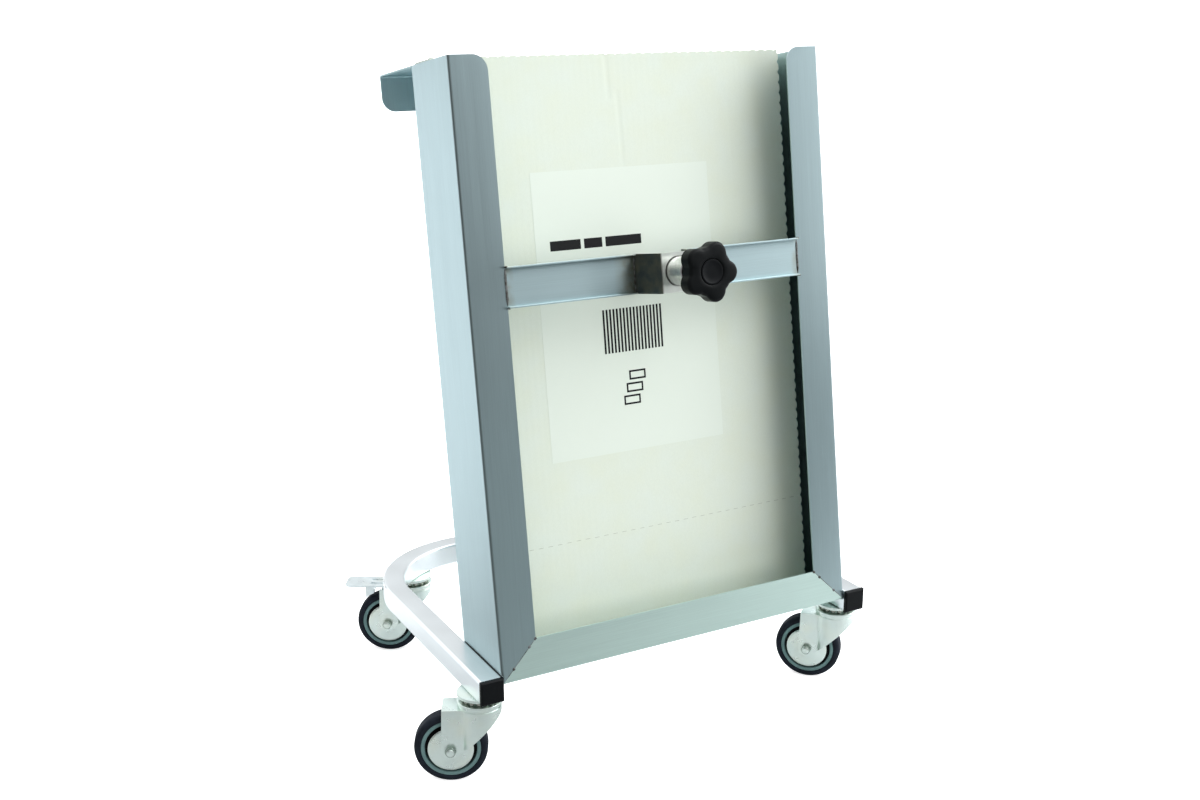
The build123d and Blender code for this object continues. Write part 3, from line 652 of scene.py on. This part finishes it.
def screw_thread():
    """Trapezoidal thread on the clamp screw, with a plain neck at the plate end."""
    segments, per_turn = 48, 10
    start, end = -90.0, 33.3
    rows = int((end - start) / SCREW_PITCH * per_turn)
    verts, faces = [], []
    for row in range(rows + 1):
        along = start + (end - start) * row / rows
        for step in range(segments):
            angle = 2 * math.pi * step / segments
            phase = (along / SCREW_PITCH - step / segments) % 1.0
            depth = THREAD_DEPTH * min(1.0, max(0.0, (abs(phase - 0.5) - 0.14) / 0.16))
            ease = min(1.0, (along - start) / 2.0, (end - along) / 2.0)
            reach = SCREW_RADIUS - 0.02 - depth * max(0.0, ease) - 0.6 * (1 - max(0.0, ease))
            verts.append((reach * math.cos(angle), along, reach * math.sin(angle)))
    for row in range(rows):
        for step in range(segments):
            after = (step + 1) % segments
            faces.append(
                (
                    row * segments + step,
                    row * segments + after,
                    (row + 1) * segments + after,
                    (row + 1) * segments + step,
                )
            )
    faces.append(tuple(range(segments - 1, -1, -1)))
    faces.append(tuple(rows * segments + step for step in range(segments)))
    neck = [(4.6, 33.0), (4.95, 33.4), (4.95, 44.7), (4.5, 44.8), (4.5, 45.7), (4.9, 45.8), (4.5, 46.2)]
    return moved(merged([(verts, faces), shell(neck, segments)]), (0, 0, KNOB_HEIGHT))


def boss():
    """Turned boss with a chamfered mouth, and a flange cut back round the neck behind the bracket's hole."""
    bore, outer, undercut = 6.05, 14.5, 16.6
    rings = [(bore + 0.5, BOSS_END), (outer - 0.9, BOSS_END), (outer, BOSS_END + 0.9)]
    rings += [(outer, -33.6), (undercut, -33.6), (undercut, -35.5), (18.0, -35.5), (18.0, -33.0)]
    rings += [(bore + 0.5, -33.0), (bore, -33.5), (bore, BOSS_END + 0.5)]
    return moved(shell(rings, 96, closed=True), (0, 0, KNOB_HEIGHT))


def build_clamp():
    piece("star_knob_grip", *star_knob(), RACK, "clamp_screw", "knob_plastic", stands_for=("star_knob",))
    piece("knob_cap_disc", *knob_cap(), RACK, "clamp_screw", "black_plastic", stands_for=("knob_cap",))
    piece("clamp_screw_thread", *screw_thread(), RACK, "clamp_screw", "turned_steel", stands_for=("spindle",))
    piece("spindle_boss_turned", *boss(), RACK, "root", "turned_steel", stands_for=("spindle_boss",))


# ------------------------------------------------------------------ carton and paper

CARTON_X = (-209.5, 198.0)
CARTON_Z = (2.0, 613.0)
CARTON_BACK = 90.0
BOARD = 3.0
TEAR_PITCH = 11.0
TOP_TEAR = 1.3
SIDE_TEAR = 2.0
PERFORATION_Z = 115.0
SIDE_SETBACK = 2.4
PAD_REACH = 30.0
CREASES = ((-18.0, 613.0, 565.0, 0.5), (-7.5, 575.0, 500.0, 0.45), (128.0, 560.0, 330.0, 0.3))


def tear(place, depth):
    """Depth of the torn edge at a place along it: narrow notches between the uncut bridges."""
    phase = place / TEAR_PITCH % 1.0
    rough = 0.35 * noise.noise(Vector((place * 0.9, 3.1, 0.0)))
    return depth * math.exp(-(((phase - 0.5) / 0.16) ** 2)) + abs(rough)


def face_sag(x, z):
    """How far the front board lies behind its plane: soft waves and a few dents, none at the clamp's pad."""
    wave = 0.5 + 0.5 * noise.noise(Vector((x * 0.008, z * 0.006, 1.7)))
    edge = 0.5 * (abs(x + 5.75) / 203.75) ** 4
    sag = 0.9 * wave + edge
    for middle, top, bottom, depth in CREASES:
        if bottom < z < top:
            sag += depth * math.exp(-(((x - middle - (top - z) * 0.03) / 1.6) ** 2))
    reach = math.hypot(x, z - KNOB_HEIGHT)
    return sag * min(1.0, max(0.0, (reach - PAD_REACH) / 60.0))


def sheet_faces(columns, rows):
    """Faces of a thin sheet whose points are a front grid followed by a back grid, row by row."""
    layer = (rows + 1) * (columns + 1)
    faces = []
    for row in range(rows):
        for column in range(columns):
            a = row * (columns + 1) + column
            b, c, d = a + 1, a + columns + 2, a + columns + 1
            faces.append((a, b, c, d))
            faces.append((a + layer, d + layer, c + layer, b + layer))
    border = list(range(columns))
    border += [row * (columns + 1) + columns for row in range(rows)]
    border += [rows * (columns + 1) + column for column in range(columns, 0, -1)]
    border += [row * (columns + 1) for row in range(rows, 0, -1)]
    for index, a in enumerate(border):
        b = border[(index + 1) % len(border)]
        faces.append((b, a, a + layer, b + layer))
    return faces


def carton_front():
    """Front board: a fine grid whose top and right edges are torn along their perforation."""
    columns, rows = 180, 330
    low_x, high_x = CARTON_X
    low_z, high_z = CARTON_Z
    verts = []
    for back in (0, 1):
        for row in range(rows + 1):
            for column in range(columns + 1):
                x = low_x + (high_x - low_x) * column / columns
                z = low_z + (high_z - low_z) * row / rows
                depth = CARTON_FACE + (BOARD if back else face_sag(x, z))
                if column == columns:
                    x -= tear(z, SIDE_TEAR)
                if row == rows:
                    z -= tear(x, TOP_TEAR)
                verts.append((x, depth, z))
    return verts, sheet_faces(columns, rows)


def box_part(x, y, z):
    """Plain box, to be joined into a larger mesh."""
    return slab([(x[0], z[0]), (x[1], z[0]), (x[1], z[1]), (x[0], z[1])], y)


def fluted_edge(x, y, z, thick, along_x):
    """Corrugated board wall: two liners and a wavy medium between them, open at the top edge."""
    liner = 0.45
    pitch = 6.5
    parts = []
    if along_x:
        parts.append(box_part(x, (y[0], y[0] + liner), z))
        parts.append(box_part(x, (y[1] - liner, y[1]), z))
    else:
        parts.append(box_part((x[0], x[0] + liner), y, z))
        parts.append(box_part((x[1] - liner, x[1]), y, z))
    length = (x[1] - x[0]) if along_x else (y[1] - y[0])
    steps = int(length / pitch * 12)
    room = thick - 2 * liner - 0.25
    verts, faces = [], []
    for step in range(steps + 1):
        run = length * step / steps
        swing = 0.5 * room * math.sin(2 * math.pi * run / pitch)
        middle = (y[0] + y[1]) / 2 if along_x else (x[0] + x[1]) / 2
        for side in (-0.11, 0.11):
            across = middle + swing + side
            for height in (z[0], z[1] - 0.3):
                verts.append((x[0] + run, across, height) if along_x else (across, y[0] + run, height))
    for step in range(steps):
        a = step * 4
        faces += [(a, a + 1, a + 5, a + 4), (a + 2, a + 6, a + 7, a + 3), (a + 1, a + 3, a + 7, a + 5)]
        faces.append((a, a + 4, a + 6, a + 2))
    last = steps * 4
    faces += [(0, 2, 3, 1), (last, last + 1, last + 3, last + 2)]
    parts.append((verts, faces))
    return merged(parts)


def carton_walls():
    """Back, sides and floor of the carton in corrugated board."""
    low_x, high_x = CARTON_X
    inner_front = CARTON_FACE + BOARD
    inner_back = CARTON_BACK - BOARD
    right = high_x - SIDE_SETBACK
    floor = CARTON_Z[0]
    height = (floor, CARTON_Z[1] - 1.2)
    side_run = (inner_front, inner_back)
    return merged(
        [
            fluted_edge((low_x, right), (inner_back, CARTON_BACK), height, BOARD, True),
            fluted_edge((low_x, low_x + BOARD), side_run, height, BOARD, False),
            fluted_edge((right - BOARD, right), side_run, height, BOARD, False),
            box_part((low_x + BOARD, right - BOARD), side_run, (floor, floor + BOARD)),
        ]
    )


def perforation():
    """Row of short slits across the front board, each a thin dark sliver standing just proud of the board: painted
    shadow of the slit.
    """
    parts = []
    count = 36
    for index in range(count):
        x = CARTON_X[0] + 9.0 + index * TEAR_PITCH
        wobble = 0.25 * noise.noise(Vector((index * 1.3, 0.4, 0.0)))
        z = PERFORATION_Z + wobble
        depth = CARTON_FACE + face_sag(x, z)
        tip, shoulder, half = 3.1, 2.2, 0.22
        outline = [(x - tip, z), (x - shoulder, z - half), (x + shoulder, z - half)]
        outline += [(x + tip, z), (x + shoulder, z + half), (x - shoulder, z + half)]
        # Painted shadow: a dark sliver stands for the shade inside each slit.
        parts.append(slab(outline, (depth - 0.05, depth + 0.3)))
    return merged(parts)


LABEL_X = (-113.5, 96.5)
LABEL_Z = (201.0, 498.0)


def on_face(part, gap):
    """Lays a flat part onto the wavy board, a gap in front of it."""
    verts, faces = part
    return [(x, y + CARTON_FACE + face_sag(x, z) - gap, z) for x, y, z in verts], faces


def printed_sheet(x, z, columns, rows, thick):
    """Thin sheet as a grid, ready to be laid on the board."""
    verts = []
    for layer in (-thick, 0.0):
        for row in range(rows + 1):
            for column in range(columns + 1):
                across = x[0] + (x[1] - x[0]) * column / columns
                verts.append((across, layer, z[0] + (z[1] - z[0]) * row / rows))
    return verts, sheet_faces(columns, rows)


LABEL_THICK = 0.16
INK_THICK = 0.05


def label_print():
    """Generic marks: a bar for a title, an even row of stripes, and a plain icon of stacked sheets."""
    parts = []
    for x in ((-97.0, -62.0), (-58.0, -37.0), (-33.0, 9.5)):
        parts.append(printed_sheet(x, (418.0, 428.0), 12, 2, INK_THICK))
    for index in range(18):
        x = -43.0 + index * 4.05
        parts.append(printed_sheet((x, x + 2.2), (306.5, 352.5), 1, 8, INK_THICK))
    for index in range(3):
        low = 250.0 + index * 13.0
        left = -24.0 + index * 4.0
        right, top, line = left + 20.0, low + 10.0, 1.9
        parts.append(printed_sheet((left, right), (low, low + line), 6, 1, INK_THICK))
        parts.append(printed_sheet((left, right), (top - line, top), 6, 1, INK_THICK))
        parts.append(printed_sheet((left, left + line), (low + line, top - line), 1, 2, INK_THICK))
        parts.append(printed_sheet((right - line, right), (low + line, top - line), 1, 2, INK_THICK))
    return on_face(merged(parts), LABEL_THICK + 0.02)


def paper_leaves():
    """Stack of sheets as thin leaves with slightly uneven edges."""
    shuffle = random.Random(7)
    leaves = 44
    front = 54.2
    pitch = 32.0 / leaves
    parts = []
    for index in range(leaves):
        low = front + index * pitch
        left = -205.2 + shuffle.uniform(-0.35, 0.35)
        top = 604.6 + shuffle.uniform(-0.8, 0.6)
        parts.append(box_part((left, left + 399.0), (low, low + pitch * 0.82), (5.4, top)))
    return merged(parts)


def build_load():
    piece("carton_front_board", *carton_front(), RACK, "load", "board", stands_for=("carton",))
    piece("carton_walls", *carton_walls(), RACK, "load", "board")
    piece("carton_perforation", *perforation(), RACK, "load", "board", material="slit")
    sheet = printed_sheet(LABEL_X, LABEL_Z, 60, 80, LABEL_THICK)
    piece("label_sheet", *on_face(sheet, 0.02), RACK, "load", "label_paper", stands_for=("carton_label",))
    piece("label_marks", *label_print(), RACK, "load", "label_paper", material="ink")
    piece("paper_leaves", *paper_leaves(), RACK, "load", "sheet_paper", stands_for=("paper_stack",))


# ------------------------------------------------------------------ welds on the rack and base


def mitre_welds():
    """Thin ground seam along each mitre, with three darker spots where it was tacked."""
    parts = []
    out = (0, -1, 0)
    for side in (-1, 1):
        foot = Vector((side * (RACK_HALF - 2.5), 0.05, 2.5))
        head = Vector((side * OPENING, 0.05, FLANGE))
        across = (side, 0, 1)
        parts.append(bead(foot, head, 0.35, across, out, 2.0 + side))
        for share in (0.30, 0.80, 0.99):
            middle = foot.lerp(head, share)
            step = (head - foot).normalized() * 1.9
            parts.append(bead(middle - step, middle + step * 0.8, 1.4, across, out, 5.0 + share * side))
    return merged(parts)


def bar_welds():
    """Short beads where the bar meets the flanges and where the bracket meets the bar."""
    parts = []
    for side in (-1, 1):
        x = side * OPENING
        low, high = (x, -0.1, BAR_BOTTOM + 2), (x, -0.1, BAR_TOP - 2)
        parts.append(bead(low, high, 1.3, (1, 0, 0), (0, -1, 0), 11.0 + side))
        for z in (BAR_BOTTOM, BAR_TOP):
            parts.append(bead((x, -4.6, z), (x, 0.0, z), 1.5, (1, 0, 0), (0, 0, 1), 14.0 + z + side))
        x = side * HAT_FOOT
        low, high = (x, -0.2, BAR_BOTTOM + 2), (x, -0.2, BAR_TOP - 2)
        parts.append(bead(low, high, 0.9, (1, 0, 0), (0, -1, 0), 17.0 + side))
    return merged(parts)


def crevice_shadow_strips():
    """Painted shadow: a thin black strip in the crevice between each side panel and the tube."""
    parts = []
    for side in (-1, 1):
        x = side * (RACK_HALF + 0.4)
        start, end = (x, 1.0, TUBE_TOP - 0.6), (x, 92.0, TUBE_TOP - 0.6)
        parts.append(bead(start, end, 1.2, (1, 0, 0), (0, 0, 1), 21.0 + side))
    return merged(parts)


def rear_welds():
    """Stitch welds between the back panel and the side panels."""
    parts = []
    for side in (-1, 1):
        x = side * (RACK_HALF - 1.0)
        for start in (40, 160, 280, 400, 520):
            low, high = (x, RACK_DEPTH, start), (x, RACK_DEPTH, start + 22)
            parts.append(bead(low, high, 0.9, (1, 0, 0), (0, 1, 0), 31.0 + start * side))
    return merged(parts)


def build_welds():
    piece("mitre_welds", *mitre_welds(), RACK, "root", "brushed_sheet", material="weld")
    piece("bar_welds", *bar_welds(), RACK, "root", "brushed_sheet", material="weld")
    # Painted shadow: black strips in the crevices beside the tube, in the label's ink material.
    piece("crevice_shadow_strips", *crevice_shadow_strips(), FLOOR, "root", "brushed_sheet", material="ink")
    piece("rear_welds", *rear_welds(), RACK, "root", "brushed_sheet", material="weld")


# ------------------------------------------------------------------ castors


def tyre():
    """Tyre section: crowned tread with a mould line, round shoulders and a step at the rim."""
    half, outer, inner, shoulder = 9.4, 37.5, 30.6, 4.7
    profile = [(inner, -half + 1.0), (inner + 0.6, -half + 0.2), (32.0, -half)]
    profile += arc((outer - shoulder, -half + shoulder), shoulder, -90, -8, 8)
    tread = outer - 0.02
    profile += [(tread, -3.0), (tread, -0.35), (outer, 0.0), (tread, 0.35), (tread, 3.0)]
    profile += arc((outer - shoulder, half - shoulder), shoulder, 8, 90, 8)
    profile += [(32.0, half), (inner + 0.6, half - 0.2), (inner, half - 1.0)]
    return moved(shell(profile, 128, closed=True), (TRAIL, 0, AXLE_Z))


def thread_guard(side):
    """Pressed disc: rolled rim, shallow dish and a raised centre against the leg."""
    bore, reach = 3.15, 23.3
    inner, outer = FORK_INNER - 1.45, FORK_INNER - 0.05
    profile = [(bore, outer), (11.0, outer), (11.8, outer - 0.3), (20.3, outer - 0.3), (21.8, outer - 0.4)]
    profile += [(reach - 0.4, outer - 0.8), (reach, outer - 1.1), (reach - 0.1, inner), (22.0, inner)]
    profile += [(20.9, inner + 0.5), (12.0, inner + 0.5), (11.0, inner), (bore, inner)]
    rings = [(radius, side * along) for radius, along in profile]
    return moved(shell(rings, 96, closed=True), (TRAIL, 0, AXLE_Z))


def rim_ring():
    """Visible band of the wheel centre, with a rounded edge on each face."""
    inner, outer, half = 26.4, 30.6, 8.9
    profile = [(inner, -half + 0.8), (inner + 0.5, -half + 0.1), (outer - 0.6, -half), (outer, -half + 0.6)]
    profile += [(outer, half - 0.6), (outer - 0.6, half), (inner + 0.5, half - 0.1), (inner, half - 0.8)]
    return moved(shell(profile, 128, closed=True), (TRAIL, 0, AXLE_Z))


def rim_web():
    """Recessed web and hub of the wheel centre, made black as painted shade of the recess."""
    bore, hub, reach, half, face = 5.6, 10.0, 26.4, 3.0, 10.3
    profile = [(bore, -face), (hub, -face), (hub, -half), (reach, -half)]
    profile += [(reach, half), (hub, half), (hub, face), (bore, face)]
    return moved(shell(profile, 72, closed=True), (TRAIL, 0, AXLE_Z))


def hexagon(flats):
    """Radius of a hexagon at an angle, sized across its flats."""
    return lambda angle: flats / 2 / math.cos(angle % (math.pi / 3) - math.pi / 6)


NUT_FLATS = 10.0
NUT_CHAMFER = 5.15


def axle_nuts():
    """Chamfered hexagons of the axle: the bolt's head on one leg, and the nut on the other."""
    corner = hexagon(NUT_FLATS)

    def chamfer(angle):
        return min(corner(angle), NUT_CHAMFER)

    leg = FORK_OUTER
    head = [(chamfer, -leg - 4.0), (corner, -leg - 3.4), (corner, -leg), (3.0, -leg), (3.0, leg)]
    nut = [(corner, leg), (corner, leg + 3.7), (chamfer, leg + 4.3), (4.0, leg + 4.4)]
    return moved(shell(head + nut, 72), (TRAIL, 0, AXLE_Z))


def axle_ends():
    """Washer faces of the axle: a bright disc on the bolt's head, and its domed end in the nut."""
    leg = FORK_OUTER
    head = [(3.9, -leg - 3.8), (3.9, -leg - 4.05), (3.2, -leg - 4.15)]
    end = [(3.9, leg + 4.2), (4.0, leg + 5.2), (3.3, leg + 5.8), (2.0, leg + 6.0)]
    return moved(merged([shell(head, 48), shell(end, 48)]), (TRAIL, 0, AXLE_Z))


def build_castors():
    for name in CASTORS:
        place = castor_space(name)
        carrier, wheel = "castor_" + name, "wheel_" + name
        piece("tyre_moulded_" + name, *tyre(), place, wheel, "tyre_rubber", stands_for=("tyre_" + name,))
        guards = merged([thread_guard(-1), thread_guard(1)])
        discs = "thread_guards_" + name
        piece("guards_pressed_" + name, *guards, place, carrier, "zinc_plate", stands_for=(discs,))
        piece("rim_band_" + name, *rim_ring(), place, wheel, "rim_plastic", stands_for=("rim_" + name,))
        # Painted shade: the recessed web is black plastic instead of the rim's grey-green.
        piece("rim_web_" + name, *rim_web(), place, wheel, "rim_plastic", material="black_plastic")
        bolt = "axle_bolt_" + name
        # Painted dark reflection: the nuts take a darker copy of the zinc.
        piece("axle_nuts_" + name, *axle_nuts(), place, carrier, "zinc_plate", "nut_zinc", (bolt,))
        piece("axle_ends_" + name, *axle_ends(), place, carrier, "zinc_plate")


# ------------------------------------------------------------------ stage, light and camera

CAMERA_LENS = 41.95
CAMERA_PLACE = (-728.1, -1143.1, 654.1)
CAMERA_YAW = -28.735
CAMERA_PITCH = -16.084
CAMERA_ROLL = -0.154


def build_camera():
    """Camera at the front left, a little above the rack, at the height and angle of the reference view."""
    data = bpy.data.cameras.new("camera")
    data.lens = CAMERA_LENS
    data.sensor_width = 36.0
    data.clip_start = 0.05
    made = bpy.data.objects.new("camera", data)
    made.location = RACK.translation + Vector(CAMERA_PLACE) * MM
    aim = Matrix.Rotation(math.radians(CAMERA_YAW), 4, "Z")
    aim @= Matrix.Rotation(math.radians(90 + CAMERA_PITCH), 4, "X")
    aim @= Matrix.Rotation(math.radians(CAMERA_ROLL), 4, "Z")
    made.rotation_euler = aim.to_euler()
    bpy.context.scene.collection.objects.link(made)
    bpy.context.scene.camera = made


def build_floor():
    """Large plain floor: white to the camera, and darker in front than behind in the light it bounces, painted
    shade for the camera's side.
    """
    data = bpy.data.meshes.new("floor")
    reach = 30.0
    corners = ((-reach, -reach, 0), (reach, -reach, 0), (reach, reach, 0), (-reach, reach, 0))
    data.from_pydata(corners, [], [(0, 1, 2, 3)])
    recipe = Recipe("studio_floor", roughness=0.9)
    sees = recipe.node("ShaderNodeLightPath").outputs["Is Camera Ray"]
    recipe.put(recipe.shader, "Specular IOR Level", 0.0)
    recipe.put(recipe.shader, "Emission Color", (1.0, 1.0, 1.0, 1.0))
    recipe.put(recipe.shader, "Emission Strength", recipe.span(sees, 0.0, FLOOR_LIFT, 0.0, 1.0))
    turned = recipe.coordinates((1, 1, 1), (0, 0, FLOOR_TURN))
    place = recipe.node("ShaderNodeSeparateXYZ", Vector=turned)
    # Painted shade: the light the floor bounces is darker towards the front.
    bounce = recipe.tint(recipe.span(place.outputs["Y"], 0.0, 1.0, -0.55, 0.15), FLOOR_NEAR, FLOOR_FAR)
    data.materials.append(recipe.paint(recipe.tint(sees, bounce, FLOOR_COLOR)))
    floor = bpy.data.objects.new("floor", data)
    bpy.context.scene.collection.objects.link(floor)


FLOOR_COLOR = (0.92, 0.92, 0.92)
FLOOR_TURN = math.radians(-30)
# Painted shade on the floor's front, seen only in the light it bounces.
FLOOR_NEAR = (0.26, 0.27, 0.27)
FLOOR_FAR = (0.95, 0.96, 0.97)
FLOOR_LIFT = 0.55
SURROUND = 0.03
BACKDROP = 1.05
# Soft light sources: direction, angle of the bright core, angle where it has faded, strength.
SOFT_LIGHTS = (
    ((0.0, 0.1, 1.0), 12, 58, 1.2),
    ((1.0, -0.30, 0.85), 12, 34, 2.4),
    ((0.36, -1.0, 0.95), 8, 27, 1.7),
    ((-0.40, -0.95, 0.40), 12, 44, 0.55),
    ((1.0, -0.32, 0.12), 16, 50, 1.4),
    ((-0.9, 0.7, 0.35), 10, 70, 0.62),
    ((0.3, 1.0, 0.25), 20, 75, 0.62),
)


SOFTBOX_PLACE = (320.0, -900.0, 700.0)
SOFTBOX_AIM = (0.0, 60.0, 640.0)
SOFTBOX_SPREAD = math.radians(60)
SOFTBOX_SIZE = 1.1
SOFTBOX_POWER = 0.94


def build_softbox():
    """Soft box in front and above, near enough that the carton darkens towards the floor."""
    data = bpy.data.lights.new("softbox", "AREA")
    data.size = SOFTBOX_SIZE
    data.spread = SOFTBOX_SPREAD
    data.energy = SOFTBOX_POWER
    made = bpy.data.objects.new("softbox", data)
    aim = FLOOR @ Vector(SOFTBOX_AIM) - FLOOR @ Vector(SOFTBOX_PLACE)
    made.location = FLOOR @ Vector(SOFTBOX_PLACE)
    made.rotation_euler = aim.to_track_quat("-Z", "Y").to_euler()
    made.visible_glossy = False
    made.visible_camera = False
    bpy.context.scene.collection.objects.link(made)


def build_world():
    """Surround seen by the object: dim near the horizon, with soft lights above, to the right and behind."""
    world = bpy.data.worlds.new("studio")
    bpy.context.scene.world = world
    world.use_nodes = True
    nodes, links = world.node_tree.nodes, world.node_tree.links
    ray = nodes.new("ShaderNodeTexCoord").outputs["Generated"]
    total = None
    for direction, core, faded, strength in SOFT_LIGHTS:
        dot = nodes.new("ShaderNodeVectorMath")
        dot.operation = "DOT_PRODUCT"
        links.new(ray, dot.inputs[0])
        dot.inputs[1].default_value = Vector(direction).normalized()
        lobe = nodes.new("ShaderNodeMapRange")
        lobe.interpolation_type = "SMOOTHSTEP"
        links.new(dot.outputs["Value"], lobe.inputs["Value"])
        lobe.inputs["From Min"].default_value = math.cos(math.radians(faded))
        lobe.inputs["From Max"].default_value = math.cos(math.radians(core))
        lobe.inputs["To Max"].default_value = strength
        add = nodes.new("ShaderNodeMath")
        links.new(lobe.outputs["Result"], add.inputs[0])
        add.inputs[1].default_value = SURROUND
        if total is not None:
            links.new(total, add.inputs[1])
        total = add.outputs["Value"]
    sees = nodes.new("ShaderNodeLightPath").outputs["Is Camera Ray"]
    pick = nodes.new("ShaderNodeMix")
    links.new(sees, pick.inputs["Factor"])
    links.new(total, pick.inputs["A"])
    pick.inputs["B"].default_value = BACKDROP
    back = nodes["Background"]
    back.inputs["Color"].default_value = (0.97, 0.985, 1.0, 1.0)
    links.new(pick.outputs["Result"], back.inputs["Strength"])


def build_view():
    scene = bpy.context.scene
    scene.view_settings.view_transform = "Standard"
    scene.view_settings.look = "Medium High Contrast"
    scene.view_settings.exposure = 0.0


finish_cad_nodes()
build_clamp()
build_load()
build_welds()
build_castors()
build_floor()
build_world()
build_softbox()
build_camera()
build_view()
